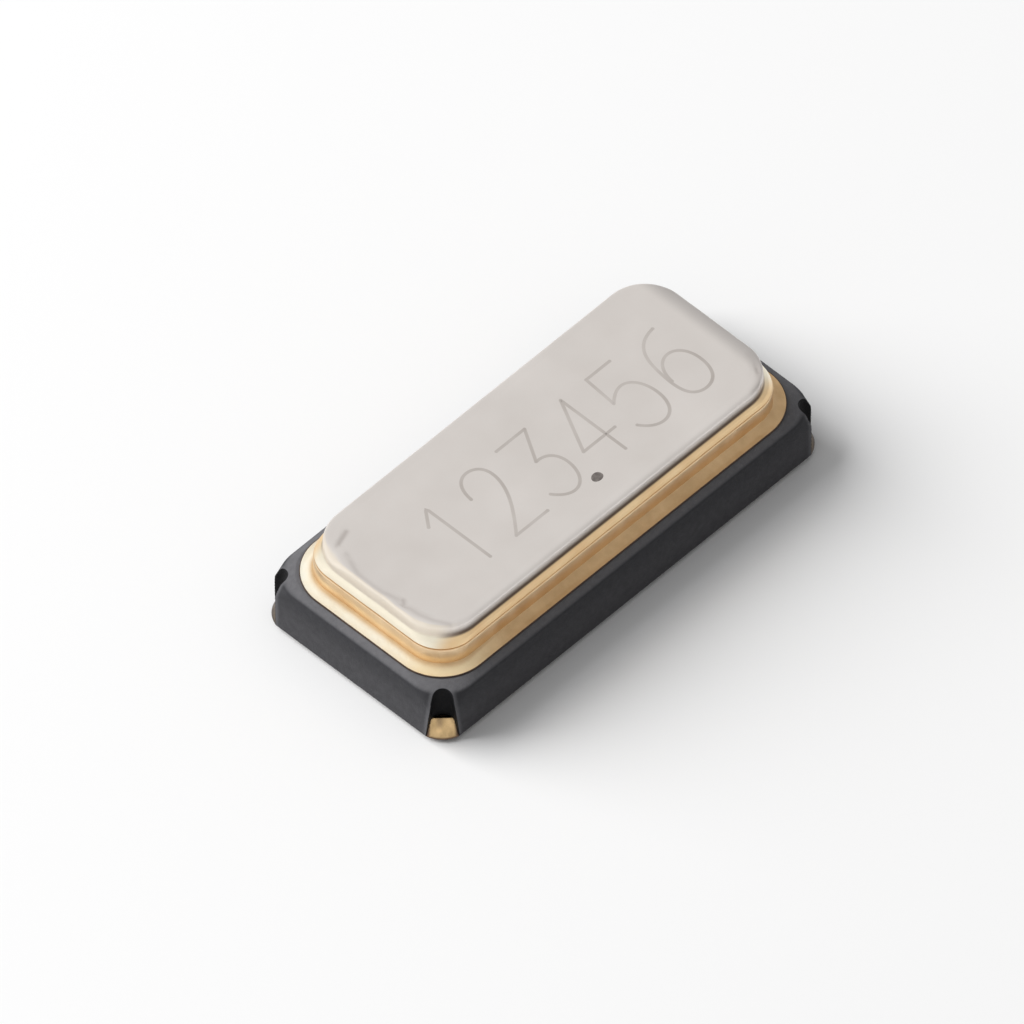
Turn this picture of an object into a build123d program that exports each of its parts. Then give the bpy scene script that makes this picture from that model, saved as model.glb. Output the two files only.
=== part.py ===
from build123d import *

import os
from math import sqrt

# Quartz tuning-fork resonator in a surface-mount ceramic package.
# Millimetres, +Z up. The origin is under the middle of the package, level with the soldered faces.
# +X runs along the package, from the mounting ledge to the tips of the fork.
# An inset is how far an outline lies inside the foot of the ceramic, the same all round.

os.makedirs("parts", exist_ok=True)

# Ceramic package
body_length = 3.2
body_width = 1.48
side_height = 0.335
side_draft = 0.02
side_corner_radius = 0.13
corner_blend_height = 0.095
shoulder_corner_radius = 0.24
rim_slope_width = 0.05
rim_slope_rise = 0.027
rim_corner_radius = 0.28

# Cavity, from the inside of the wall down to the ledge and the floor
wall_thickness = 0.345
cavity_corner_radius = 0.1
base_thickness = 0.11
ledge_rise = 0.09
ledge_front_margin = 0.04
ledge_edge_radius = 0.02
relief_depth = 0.035
relief_length = 0.7
relief_margin = 0.12

# Tapered grooves down the four corners, measured along the corner's diagonal
groove_depth = 0.17
groove_foot_radius = 0.103
groove_head_radius = 0.055

# Soldered terminals: a pad underneath and a heel in each of its two grooves
terminal_thickness = 0.02
terminal_length = 0.86
terminal_inset = 0.07
terminal_corner_radius = 0.06
heel_height = 0.12
heel_foot_radius = 0.186
heel_toe_height = 0.03
heel_toe_thickness = 0.07
heel_top_thickness = 0.032
heel_corner_radius = 0.23
heel_edge_radius = 0.012

# Metal stack on the rim: film, braze, ring and lid
metallization_margin = 0.004
metallization_thickness = 0.01
braze_margin = 0.006
braze_thickness = 0.008
braze_fillet_rise = 0.022
ring_inset = 0.155
ring_corner_radius = 0.235
ring_cavity_margin = 0.02
ring_height = 0.133
ring_edge_break = 0.008
lid_setback = 0.003
lid_sheet = 0.08
lid_flange_height = 0.062
lid_foot_break = 0.008
lid_step = 0.024
lid_crown_height = 0.09
lid_crown_corner_radius = 0.27
lid_crown_radius = 0.028
lid_crown_lean = 0.002

# Conductors inside the ceramic
pad_length = 0.34
pad_thickness = 0.01
pad_split = 0.08
pad_wall_gap = 0.055
pad_corner_radius = 0.03
via_radius = 0.04
via_wall_gap = 0.145
via_from_pad_end = 0.07
trace_width = 0.1
trace_thickness = 0.012
trace_bend_radius = 0.08
trace_wall_margin = 0.17
far_via_from_end = 0.5

# Quartz tuning fork
fork_end_gap = 0.1
fork_tip_gap = 0.11
fork_base_length = 0.5
fork_base_width = 0.5
fork_base_corner_radius = 0.03
fork_arm_width = 0.12
fork_arm_gap = 0.12
fork_thickness = 0.11
fork_neck_width = 0.32
fork_notch_width = 0.06
fork_notch_from_arms = 0.17
fork_shoulder_length = 0.08
fork_groove_width = 0.064
fork_groove_depth = 0.035
fork_groove_start = 0.06
fork_groove_end_gap = 0.25

# Metal on the fork and the adhesive under it
film_thickness = 0.008
film_edge = 0.012
film_split = 0.03
film_pad_length = 0.26
film_track_width = 0.05
tip_film_length = 0.34
weight_margin = 0.03
weight_thickness = 0.01
adhesive_radius = 0.085
adhesive_squeeze = 0.015
adhesive_height = 0.03
adhesive_belt = 0.01
adhesive_edge_gap = 0.015

# Vacuum hole in the base, wide outside and narrow inside
vacuum_hole_x = 0.15
vacuum_mouth_radius = 0.15
vacuum_throat_radius = 0.09
vacuum_mouth_depth = 0.055
lining_thickness = 0.012
plug_recess = 0.006
plug_dish = 0.008
plug_dome = 0.02

# Levels
ceramic_bottom = terminal_thickness
floor_level = ceramic_bottom + base_thickness
ledge_level = floor_level + ledge_rise
shoulder_level = ceramic_bottom + side_height
rim_level = shoulder_level + rim_slope_rise
film_top_level = rim_level + metallization_thickness
ring_bottom = film_top_level + braze_thickness
ring_top = ring_bottom + ring_height
lid_flange_top = ring_top + lid_flange_height
lid_top = lid_flange_top + lid_crown_height
heel_top = ceramic_bottom + heel_height

# Insets
rim_inset = side_draft + rim_slope_width
metallization_inset = rim_inset + metallization_margin
braze_inset = metallization_inset + braze_margin
ring_inner_inset = wall_thickness - ring_cavity_margin
lid_inset = ring_inset + lid_setback
crown_inset = lid_inset + lid_step
lid_pocket_inset = crown_inset + lid_sheet


def outline(inset, radius, mode=Mode.ADD):
    """A rounded rectangle at an inset from the foot of the ceramic."""
    return RectangleRounded(body_length - 2 * inset, body_width - 2 * inset, radius, mode=mode)


def ring_radius(inset):
    """Corner radius of an outline that keeps an even distance from the ring's wall."""
    return ring_corner_radius + ring_inset - inset


# Corner grooves: four leaning cones that come out through the rim slope
corner_x = body_length / 2
corner_y = body_width / 2
diagonal = sqrt(2)
groove_foot_centre = (groove_depth - groove_foot_radius) / diagonal
groove_head_centre = (groove_depth - groove_head_radius) / diagonal

with BuildPart() as groove_cones:
    with BuildSketch(Plane.XY):
        with Locations((corner_x - groove_foot_centre, corner_y - groove_foot_centre)):
            Circle(groove_foot_radius)
    with BuildSketch(Plane.XY.offset(rim_level)):
        with Locations((corner_x - groove_head_centre, corner_y - groove_head_centre)):
            Circle(groove_head_radius)
    loft()
    mirror(about=Plane.XZ)
    mirror(about=Plane.YZ)

# Inside the package, in plan: the ledge end of the cavity is at -X
cavity_end_x = corner_x - wall_thickness
cavity_half_width = corner_y - wall_thickness
fork_end_x = fork_end_gap - cavity_end_x
ledge_front_x = fork_end_x + pad_length + ledge_front_margin

# Conductors: one via straight down, and one via, track and via round to the far terminal
via_x = fork_end_x + via_from_pad_end
via_y = cavity_half_width - via_wall_gap
far_via_x = corner_x - far_via_from_end
trace_y = corner_y - trace_wall_margin

with BuildPart() as conductor_1:
    with BuildSketch(Plane.XY.offset(ceramic_bottom)):
        with Locations((via_x, -via_y)):
            Circle(via_radius)
    extrude(amount=ledge_level - ceramic_bottom)

with BuildPart() as conductor_2:
    with BuildSketch(Plane.XY.offset(ceramic_bottom)):
        with Locations((far_via_x, trace_y)):
            Circle(via_radius)
    extrude(amount=base_thickness)
    with BuildSketch(Plane.XY.offset(floor_level)):
        with BuildLine():
            FilletPolyline(
                (via_x, via_y),
                (via_x, trace_y),
                (far_via_x, trace_y),
                radius=trace_bend_radius,
            )
            offset(amount=trace_width / 2, side=Side.BOTH)
        make_face()
    extrude(amount=trace_thickness)
    with BuildSketch(Plane.XY.offset(floor_level)):
        with Locations((via_x, via_y)):
            Circle(via_radius)
    extrude(amount=ledge_rise)

# Ceramic body: drafted sides whose corners round off below the shoulder, sloped rim,
# cavity with ledge, grooves, hole and conductor ways
blend_inset = side_draft * (1 - corner_blend_height / side_height)

with BuildPart() as ceramic_body:
    with BuildSketch(Plane.XY.offset(ceramic_bottom)):
        outline(0, side_corner_radius)
    with BuildSketch(Plane.XY.offset(shoulder_level - corner_blend_height)):
        outline(blend_inset, side_corner_radius)
    loft(ruled=True)
    with BuildSketch(Plane.XY.offset(shoulder_level - corner_blend_height)):
        outline(blend_inset, side_corner_radius)
    with BuildSketch(Plane.XY.offset(shoulder_level)):
        outline(side_draft, shoulder_corner_radius)
    loft(ruled=True)
    with BuildSketch(Plane.XY.offset(shoulder_level)):
        outline(side_draft, shoulder_corner_radius)
    with BuildSketch(Plane.XY.offset(rim_level)):
        outline(rim_inset, rim_corner_radius)
    loft(ruled=True)
    with BuildSketch(Plane.XY.offset(rim_level)):
        outline(wall_thickness, cavity_corner_radius)
    extrude(amount=floor_level - rim_level, mode=Mode.SUBTRACT)
    with BuildSketch(Plane.XY.offset(floor_level)):
        outline(wall_thickness, cavity_corner_radius)
        with Locations((ledge_front_x, 0)):
            Rectangle(body_length, body_width, align=(Align.MIN, Align.CENTER), mode=Mode.SUBTRACT)
    extrude(amount=ledge_rise)
    ledge_edges = ceramic_body.edges(Select.LAST).filter_by(Axis.Y).group_by(Axis.Z)[-1]
    fillet(ledge_edges.sort_by(Axis.X)[-1], ledge_edge_radius)
    with BuildSketch(Plane.XY.offset(floor_level)):
        with Locations((cavity_end_x - relief_margin - relief_length / 2, 0)):
            RectangleRounded(relief_length, 2 * (cavity_half_width - relief_margin), cavity_corner_radius)
    extrude(amount=-relief_depth, mode=Mode.SUBTRACT)
    with Locations(Location((vacuum_hole_x, 0, ceramic_bottom), (180, 0, 0))):
        CounterBoreHole(vacuum_throat_radius, vacuum_mouth_radius, vacuum_mouth_depth, base_thickness)
    add(groove_cones.part, mode=Mode.SUBTRACT)
    add(conductor_1.part, mode=Mode.SUBTRACT)
    add(conductor_2.part, mode=Mode.SUBTRACT)

# Heels: metal in the feet of the grooves. Each has a flared toe, flush with the foot of the ceramic,
# and above it leans back to a thin lip at its top. They stand on the outer corners of the pads.


def heel_section(level, thickness):
    """The heels' outer faces at a level, where they are this thick on the groove's diagonal."""
    depth = groove_depth - thickness
    with BuildSketch(Plane.XY.offset(level)) as section:
        outline((depth - (diagonal - 1) * heel_corner_radius) / diagonal, heel_corner_radius)
    return section.sketch


with BuildPart() as heels:
    with BuildSketch(Plane.XY.offset(ceramic_bottom)):
        outline(0, heel_foot_radius)
    add(heel_section(ceramic_bottom + heel_toe_height, heel_toe_thickness))
    loft(ruled=True)
    add(heel_section(ceramic_bottom + heel_toe_height, heel_toe_thickness))
    add(heel_section(heel_top, heel_top_thickness))
    loft(ruled=True)
    add(groove_cones.part, mode=Mode.INTERSECT)
    heel_tops = heels.faces().group_by(Axis.Z)[-1]
    fillet([top.edges().sort_by_distance((0, 0, heel_top))[-1] for top in heel_tops], heel_edge_radius)


def make_terminal(side):
    """The pad and two heels under one end: side is -1 under the ledge and 1 under the fork's tips."""
    with BuildPart() as terminal:
        with BuildSketch(Plane.XY):
            with Locations((side * (corner_x - terminal_inset - terminal_length / 2), 0)):
                RectangleRounded(terminal_length, body_width - 2 * terminal_inset, terminal_corner_radius)
        extrude(amount=terminal_thickness)
        add(heels.solids().filter_by(lambda heel: heel.center().X * side > 0))
    return terminal.part


terminal_1 = make_terminal(-1)
terminal_2 = make_terminal(1)

# Rim metallization: a flat fired film on top of the wall
with BuildPart() as rim_metallization:
    with BuildSketch(Plane.XY.offset(rim_level)):
        outline(metallization_inset, ring_radius(metallization_inset))
        outline(ring_inner_inset, ring_radius(ring_inner_inset), mode=Mode.SUBTRACT)
    extrude(amount=metallization_thickness)

# Braze: a thin layer under the ring that climbs its wall outside in a hollow fillet.
# Its section is swept round the foot of the ring; local x runs inwards and local y up.
ring_half_length = corner_x - ring_inset
ring_half_width = corner_y - ring_inset

with BuildPart() as braze_fillet:
    with BuildLine(Plane.XY.offset(film_top_level)) as ring_foot:
        FilletPolyline(
            (-ring_half_length, -ring_half_width),
            (ring_half_length, -ring_half_width),
            (ring_half_length, ring_half_width),
            (-ring_half_length, ring_half_width),
            radius=ring_corner_radius,
            close=True,
        )
    start, along = ring_foot.wire() @ 0, ring_foot.wire() % 0
    inwards = Vector(0, 0, 1).cross(along)
    with BuildSketch(Plane(origin=start, x_dir=inwards, z_dir=along)):
        with BuildLine():
            toe = (braze_inset - ring_inset, 0)
            crest = (0, braze_thickness + braze_fillet_rise)
            inner = ring_inner_inset - ring_inset
            Polyline(crest, (0, braze_thickness), (inner, braze_thickness), (inner, 0), toe)
            TangentArc(toe, crest, tangent=(1, 0))
        make_face()
    sweep(path=ring_foot.wire())

# Seal ring: a plain blanked ring with its outer top edge broken
with BuildPart() as seal_ring:
    with BuildSketch(Plane.XY.offset(ring_bottom)):
        outline(ring_inset, ring_corner_radius)
        outline(ring_inner_inset, ring_radius(ring_inner_inset), mode=Mode.SUBTRACT)
    extrude(amount=ring_height)
    chamfer(seal_ring.faces().sort_by(Axis.Z)[-1].outer_wire().edges(), ring_edge_break)

# Lid: drawn from sheet, with a flange that the weld rollers leave sloped, a crown and a hollow underside
with BuildPart() as lid:
    with BuildSketch(Plane.XY.offset(ring_top)):
        outline(lid_inset + lid_foot_break, ring_radius(lid_inset + lid_foot_break))
    with BuildSketch(Plane.XY.offset(ring_top + lid_foot_break)):
        outline(lid_inset, ring_radius(lid_inset))
    with BuildSketch(Plane.XY.offset(lid_flange_top)):
        outline(crown_inset, lid_crown_corner_radius)
    loft(ruled=True)
    with BuildSketch(Plane.XY.offset(lid_flange_top)):
        outline(crown_inset, lid_crown_corner_radius)
    with BuildSketch(Plane.XY.offset(lid_top)):
        outline(crown_inset + lid_crown_lean, lid_crown_corner_radius)
    loft(ruled=True)
    fillet(lid.faces().sort_by(Axis.Z)[-1].edges(), lid_crown_radius)
    with BuildSketch(Plane.XY.offset(ring_top)):
        outline(lid_pocket_inset, ring_radius(lid_pocket_inset))
    extrude(amount=lid_top - lid_sheet - ring_top, mode=Mode.SUBTRACT)

# Mounting pads on the ledge, one each side of a narrow split
pad_level = ledge_level + pad_thickness
pad_width = cavity_half_width - pad_wall_gap - pad_split / 2
pad_y = (pad_split + pad_width) / 2


def make_pad(side):
    """One pad on the ledge: side is -1 or 1 across the package."""
    with BuildPart() as pad:
        with BuildSketch(Plane.XY.offset(ledge_level)):
            with Locations((fork_end_x + pad_length / 2, side * pad_y)):
                RectangleRounded(pad_length, pad_width, pad_corner_radius)
        extrude(amount=pad_thickness)
    return pad.part


mounting_pad_1 = make_pad(-1)
mounting_pad_2 = make_pad(1)

# Tuning fork, lying above the pads on its adhesive
fork_bottom = pad_level + adhesive_height + film_thickness
fork_top = fork_bottom + fork_thickness
fork_middle = fork_bottom + fork_thickness / 2
root_x = fork_end_x + fork_base_length
tip_x = cavity_end_x - fork_tip_gap
fork_arm_length = tip_x - root_x
arms_half_width = fork_arm_gap / 2 + fork_arm_width
arm_y = (fork_arm_gap + fork_arm_width) / 2
base_half_width = fork_base_width / 2
notch_depth = (fork_base_width - fork_neck_width) / 2
notch_x = root_x - fork_notch_from_arms
groove_x = root_x + fork_groove_start
groove_length = fork_arm_length - fork_groove_start - tip_film_length - fork_groove_end_gap
groove_middle_x = groove_x + groove_length / 2


def fork_blank(coat):
    """The fork with every face moved out by coat, or the bare quartz where coat is 0."""
    with BuildPart() as blank:
        with BuildSketch(Plane.XY.offset(fork_bottom - coat)) as profile:
            with BuildLine():
                Polyline(
                    (fork_end_x - coat, 0),
                    (fork_end_x - coat, base_half_width + coat),
                    (root_x - fork_shoulder_length, base_half_width + coat),
                    (root_x, arms_half_width + coat),
                    (tip_x + coat, arms_half_width + coat),
                    (tip_x + coat, 0),
                )
                mirror(about=Plane.XZ)
            make_face()
            fillet(profile.vertices().group_by(Axis.X)[0], fork_base_corner_radius)
            with Locations((notch_x, base_half_width), (notch_x, -base_half_width)):
                SlotOverall(
                    2 * (notch_depth - coat),
                    fork_notch_width - 2 * coat,
                    rotation=90,
                    mode=Mode.SUBTRACT,
                )
            with Locations((tip_x, 0)):
                SlotOverall(
                    2 * (fork_arm_length - coat),
                    fork_arm_gap - 2 * coat,
                    mode=Mode.SUBTRACT,
                )
        extrude(amount=fork_thickness + 2 * coat)
        for level, inward in [(fork_top + coat, -1), (fork_bottom - coat, 1)]:
            with BuildSketch(Plane.XY.offset(level)):
                with Locations((groove_middle_x, arm_y), (groove_middle_x, -arm_y)):
                    Rectangle(groove_length - 2 * coat, fork_groove_width - 2 * coat)
            extrude(amount=inward * fork_groove_depth, mode=Mode.SUBTRACT)
    return blank.part


tuning_fork = fork_blank(0)

# Film circuits on the fork: the coat over the bare quartz, kept where one circuit runs.
# Circuit 1 has its pad at -Y, lines the grooves of the -Y arm and wraps the walls of the +Y arm.
# Circuit 2 is the same circuit turned half a turn about the fork's own long axis.
coat_depth = fork_thickness + 4 * film_thickness
wall_y = fork_arm_gap / 2
base_edge_y = base_half_width + 2 * film_thickness
crossing_x = root_x - 2 * film_track_width
top_band_z = fork_top + film_thickness

with BuildPart() as circuit_zone:
    pad_start = fork_end_x - 2 * film_thickness
    with Locations((pad_start, -film_split, fork_middle)):
        Box(film_pad_length, base_edge_y - film_split, coat_depth, align=(Align.MIN, Align.MAX, Align.CENTER))
    with Locations((pad_start + film_pad_length, -arm_y, fork_middle)):
        Box(
            groove_x - pad_start - film_pad_length,
            film_track_width,
            coat_depth,
            align=(Align.MIN, Align.CENTER, Align.CENTER),
        )
    with Locations((groove_x, -arm_y, fork_middle)):
        Box(groove_length, fork_groove_width, coat_depth, align=(Align.MIN, Align.CENTER, Align.CENTER))
    with Locations((crossing_x, -arm_y, top_band_z)):
        Box(film_track_width, arm_y + wall_y, 2 * film_thickness, align=(Align.MIN, Align.MIN, Align.CENTER))
    with Locations((crossing_x, wall_y + film_edge, top_band_z)):
        Box(
            groove_x - crossing_x,
            wall_y + film_edge - film_split,
            2 * film_thickness,
            align=(Align.MIN, Align.MAX, Align.CENTER),
        )
    with Locations((root_x, wall_y, fork_middle)):
        Box(fork_arm_length, wall_y - film_split, coat_depth, align=(Align.MIN, Align.MAX, Align.CENTER))
    with Locations((groove_x, arms_half_width, fork_middle)):
        Box(
            fork_arm_length - fork_groove_start,
            2 * film_thickness,
            coat_depth,
            align=(Align.MIN, Align.MIN, Align.CENTER),
        )
    with Locations((tip_x - tip_film_length, film_split, fork_middle)):
        Box(
            tip_film_length + 2 * film_thickness,
            arms_half_width + 2 * film_thickness - film_split,
            coat_depth,
            align=(Align.MIN, Align.MIN, Align.CENTER),
        )

with BuildPart() as electrode_film_1:
    add(fork_blank(film_thickness))
    add(tuning_fork, mode=Mode.SUBTRACT)
    add(circuit_zone.part, mode=Mode.INTERSECT)

fork_axis = Axis((0, 0, fork_middle), (1, 0, 0))
electrode_film_2 = electrode_film_1.part.rotate(fork_axis, 180)

# Tuning weights: a thick metal patch on the top of each arm's tip
weight_length = tip_film_length - 2 * weight_margin


def make_weight(side):
    """The weight on one arm: side is -1 or 1 across the fork."""
    with BuildPart() as weight:
        with BuildSketch(Plane.XY.offset(fork_top + film_thickness)):
            with Locations((tip_x - weight_margin - weight_length / 2, side * arm_y)):
                Rectangle(weight_length, fork_arm_width)
        extrude(amount=weight_thickness)
    return weight.part


tuning_weight_1 = make_weight(-1)
tuning_weight_2 = make_weight(1)


# Adhesive dots, squeezed to a bulging barrel between a pad and the film on the fork's base
dot_y = base_half_width - adhesive_edge_gap - adhesive_radius
flat_radius = adhesive_radius - adhesive_squeeze
belt_bottom = (adhesive_height - adhesive_belt) / 2
belt_top = (adhesive_height + adhesive_belt) / 2


def make_dot(side):
    """The dot on one pad: side is -1 or 1 across the package."""
    centre = (fork_end_x + film_pad_length / 2, side * dot_y, pad_level)
    with BuildPart() as dot:
        with BuildSketch(Plane(origin=centre, x_dir=(1, 0, 0), z_dir=(0, -1, 0))):
            with BuildLine():
                Polyline(
                    (0, 0),
                    (flat_radius, 0),
                    (adhesive_radius, belt_bottom),
                    (adhesive_radius, belt_top),
                    (flat_radius, adhesive_height),
                    (0, adhesive_height),
                    close=True,
                )
            make_face()
        revolve(axis=Axis(centre, (0, 0, 1)))
    return dot.part


adhesive_dot_1 = make_dot(-1)
adhesive_dot_2 = make_dot(1)

# Vacuum hole: its metal lining, and the plug of solder that fills it
hole_plane = Plane(origin=(vacuum_hole_x, 0, ceramic_bottom), x_dir=(1, 0, 0), z_dir=(0, -1, 0))
hole_axis = Axis((vacuum_hole_x, 0, 0), (0, 0, 1))
lined_radius = vacuum_mouth_radius - lining_thickness
lined_depth = vacuum_mouth_depth - lining_thickness

with BuildPart() as vacuum_hole_lining:
    with BuildSketch(hole_plane):
        with BuildLine():
            Polyline(
                (vacuum_mouth_radius, 0),
                (vacuum_mouth_radius, vacuum_mouth_depth),
                (vacuum_throat_radius, vacuum_mouth_depth),
                (vacuum_throat_radius, lined_depth),
                (lined_radius, lined_depth),
                (lined_radius, 0),
                close=True,
            )
        make_face()
    revolve(axis=hole_axis)

with BuildPart() as vacuum_plug:
    with BuildSketch(hole_plane):
        with BuildLine():
            Polyline(
                (lined_radius, plug_recess),
                (lined_radius, lined_depth),
                (vacuum_throat_radius, lined_depth),
                (vacuum_throat_radius, base_thickness - plug_dome),
            )
            TangentArc(
                (0, base_thickness),
                (vacuum_throat_radius, base_thickness - plug_dome),
                tangent=(1, 0),
            )
            Line((0, base_thickness), (0, plug_recess + plug_dish))
            TangentArc((0, plug_recess + plug_dish), (lined_radius, plug_recess), tangent=(1, 0))
        make_face()
    revolve(axis=hole_axis)

pieces = {
    "ceramic_body": ceramic_body.part,
    "terminal_1": terminal_1,
    "terminal_2": terminal_2,
    "rim_metallization": rim_metallization.part,
    "braze_fillet": braze_fillet.part,
    "seal_ring": seal_ring.part,
    "lid": lid.part,
    "mounting_pad_1": mounting_pad_1,
    "mounting_pad_2": mounting_pad_2,
    "conductor_1": conductor_1.part,
    "conductor_2": conductor_2.part,
    "adhesive_dot_1": adhesive_dot_1,
    "adhesive_dot_2": adhesive_dot_2,
    "tuning_fork": tuning_fork,
    "electrode_film_1": electrode_film_1.part,
    "electrode_film_2": electrode_film_2,
    "tuning_weight_1": tuning_weight_1,
    "tuning_weight_2": tuning_weight_2,
    "vacuum_hole_lining": vacuum_hole_lining.part,
    "vacuum_plug": vacuum_plug.part,
}

for name, piece in pieces.items():
    piece.label = name
    export_step(piece, f"parts/{name}.step")
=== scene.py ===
from math import acos, atan2, cos, exp, pi, radians, sin, sqrt

import bmesh
import bpy
from mathutils import Matrix, Vector, noise


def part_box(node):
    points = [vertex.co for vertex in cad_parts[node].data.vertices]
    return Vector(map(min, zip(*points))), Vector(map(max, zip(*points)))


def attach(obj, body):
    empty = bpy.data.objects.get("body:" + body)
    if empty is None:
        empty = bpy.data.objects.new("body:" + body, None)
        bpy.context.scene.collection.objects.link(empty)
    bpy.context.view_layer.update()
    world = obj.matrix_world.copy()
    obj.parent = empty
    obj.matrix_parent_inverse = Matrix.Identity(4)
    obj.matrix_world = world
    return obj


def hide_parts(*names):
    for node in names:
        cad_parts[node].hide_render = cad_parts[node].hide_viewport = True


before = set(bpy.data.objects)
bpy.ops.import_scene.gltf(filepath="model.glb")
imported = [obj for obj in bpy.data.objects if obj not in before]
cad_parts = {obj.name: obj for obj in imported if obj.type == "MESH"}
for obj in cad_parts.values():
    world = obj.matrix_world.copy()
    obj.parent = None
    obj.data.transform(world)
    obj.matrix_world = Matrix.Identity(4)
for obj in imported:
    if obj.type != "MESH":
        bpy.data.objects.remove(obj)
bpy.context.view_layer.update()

# Shapes are built in millimetres and brought to metres when a piece is finished.
# An inset is how far an outline lies inside the outer one of the same piece, the same all round.
MM = 0.001
DIAGONAL = sqrt(2)

# Ceramic package
side_height = 0.335
edge_spacing = 0.009
side_draft = 0.02
side_corner_radius = 0.13
corner_blend_height = 0.095
shoulder_corner_radius = 0.24
rim_slope_width = 0.05
rim_corner_radius = 0.28
wall_thickness = 0.345
cavity_corner_radius = 0.1
base_thickness = 0.11
ledge_rise = 0.09
ledge_front_x = -0.775
relief_depth = 0.035
relief_length = 0.7
relief_margin = 0.12
ceramic_edge_radius = 0.012

# Corner grooves, measured along the corner's diagonal
groove_depth = 0.17
groove_foot_radius = 0.103
groove_head_radius = 0.055
groove_lip = 0.010
lip_cuts = (0.134, 0.138, 0.142, 0.147, 0.153, 0.16, 0.17)

# Terminals
terminal_corner_radius = 0.06
plate_edge_radius = 0.006
heel_foot_radius = 0.186
heel_toe_height = 0.03
heel_toe_thickness = 0.07
heel_top_thickness = 0.032
heel_corner_radius = 0.23
heel_round = 0.014
terminal_length = 0.86
terminal_inset = 0.07

# Rim metals
ring_width = 0.17
ring_corner_radius = 0.235
ring_edge_radius = 0.006
film_edge_radius = 0.003

# Lid: a flange, a step in from it and a crown, with a shallow track round the crown's top
lid_flange_height = 0.062
lid_flange_bulge = 0.6
lid_flange_bulge_inset = 0.008
lid_flat_inset = 0.34
lid_foot_break = 0.008
lid_step = 0.024
lid_crown_corner_radius = 0.27
lid_crown_lean = 0.002
lid_crown_radius = 0.028
lid_sheet = 0.08
track_inset = 0.062
track_width = 0.026
track_depth = 0.0012

# Vacuum hole
vacuum_hole_x = 0.15
vacuum_mouth_radius = 0.15
vacuum_throat_radius = 0.09
vacuum_mouth_depth = 0.055
vacuum_lining = 0.012
cutter_overlap = 0.02


def extent(node):
    """Half length, half width, bottom and top of a node that is centred on the package, in millimetres."""
    low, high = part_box(node)
    return high.x / MM, high.y / MM, low.z / MM, high.z / MM


body_half_x, body_half_y, ceramic_bottom, rim_level = extent("ceramic_body")


def rounded_loop(bm, outline, steps, cuts):
    """A closed loop of edges in a rounded rectangle: outline is half length, half width, radius and level."""
    half_x, half_y, radius, level = outline
    place = Matrix.Translation((0, 0, level)) @ Matrix.Diagonal((half_x, half_y, 1, 1))
    corners = bmesh.ops.create_grid(bm, x_segments=1, y_segments=1, size=1, matrix=place)["verts"]
    bmesh.ops.bevel(
        bm, geom=corners, offset=radius, affect="VERTICES", segments=steps, profile=0.5, material=-1
    )
    bmesh.ops.delete(bm, geom=bm.faces[:], context="FACES_ONLY")
    for across, cut in zip((1, 0), cuts):
        straight = [
            edge for edge in bm.edges
            if abs(edge.verts[0].co[across] - edge.verts[1].co[across]) < 1e-6
        ]
        bmesh.ops.subdivide_edges(bm, edges=straight, cuts=cut)
    return bm.edges[:]


def fit_to_outline(point, before, after):
    """Moves a point of one rounded outline to its place on another."""
    core_x, core_y = before[0] - before[2], before[1] - before[2]
    new_x, new_y = after[0] - after[2], after[1] - after[2]
    past_x, past_y = abs(point.x) - core_x, abs(point.y) - core_y
    x = new_x + past_x * after[2] / before[2] if past_x > 0 else abs(point.x) * new_x / core_x
    y = new_y + past_y * after[2] / before[2] if past_y > 0 else abs(point.y) * new_y / core_y
    return Vector((x if point.x > 0 else -x, y if point.y > 0 else -y, after[3]))


def extrude_loop(bm, loop):
    """Extrudes a closed loop of edges where it stands: the new loop's edges and points."""
    made = bmesh.ops.extrude_edge_only(bm, edges=loop)["geom"]
    verts = {item for item in made if isinstance(item, bmesh.types.BMVert)}
    edges = [
        item for item in made
        if isinstance(item, bmesh.types.BMEdge) and item.verts[0] in verts and item.verts[1] in verts
    ]
    return edges, verts


def stack(bm, outlines, steps, cuts, ring=False):
    """Extrudes a rounded outline through the next ones, closed by end faces or on itself as a ring."""
    first = rounded_loop(bm, outlines[0], steps, cuts)
    loop = first
    if ring:
        outlines = outlines + outlines[:1]
    for before, after in zip(outlines, outlines[1:]):
        loop, verts = extrude_loop(bm, loop)
        for vert in verts:
            vert.co = fit_to_outline(vert.co, before, after)
    if not ring:
        bmesh.ops.contextual_create(bm, geom=first)
        bmesh.ops.contextual_create(bm, geom=loop)


def rounded_path(corners, steps=5):
    """Points along a path of corners (inset, level, radius), each turned through an arc."""
    points = [Vector(corners[0][:2])]
    for before, corner, after in zip(corners, corners[1:], corners[2:]):
        here = Vector(corner[:2])
        back = (Vector(before[:2]) - here).normalized()
        on = (Vector(after[:2]) - here).normalized()
        radius = corner[2]
        if not radius:
            points.append(here)
            continue
        half = acos(max(-1, min(1, back.dot(on)))) / 2
        centre = here + (back + on).normalized() * radius / sin(half)
        first = here + back * radius / (sin(half) / cos(half)) - centre
        last = here + on * radius / (sin(half) / cos(half)) - centre
        turn = first.angle_signed(last)
        for step in range(steps + 1):
            arm = first.copy()
            arm.rotate(Matrix.Rotation(-turn * step / steps, 2))
            points.append(centre + arm)
    points.append(Vector(corners[-1][:2]))
    return points


def inset_outlines(half_x, half_y, radius, points, smallest=0.02):
    """Outlines at (inset, level) points that keep an even distance from one outer outline."""
    return [(half_x - inset, half_y - inset, max(radius - inset, smallest), level) for inset, level in points]


def lerp(start, end, share):
    return start + (end - start) * share


def smooth_step(low, high, value):
    share = max(0.0, min(1.0, (value - low) / (high - low)))
    return share * share * (3 - 2 * share)


def soft_least(a, b, blend):
    """The smaller of two numbers, with the corner between them rounded over a blend."""
    near = max(blend - abs(a - b), 0) / blend
    return min(a, b) - near * near * blend / 4


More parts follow.
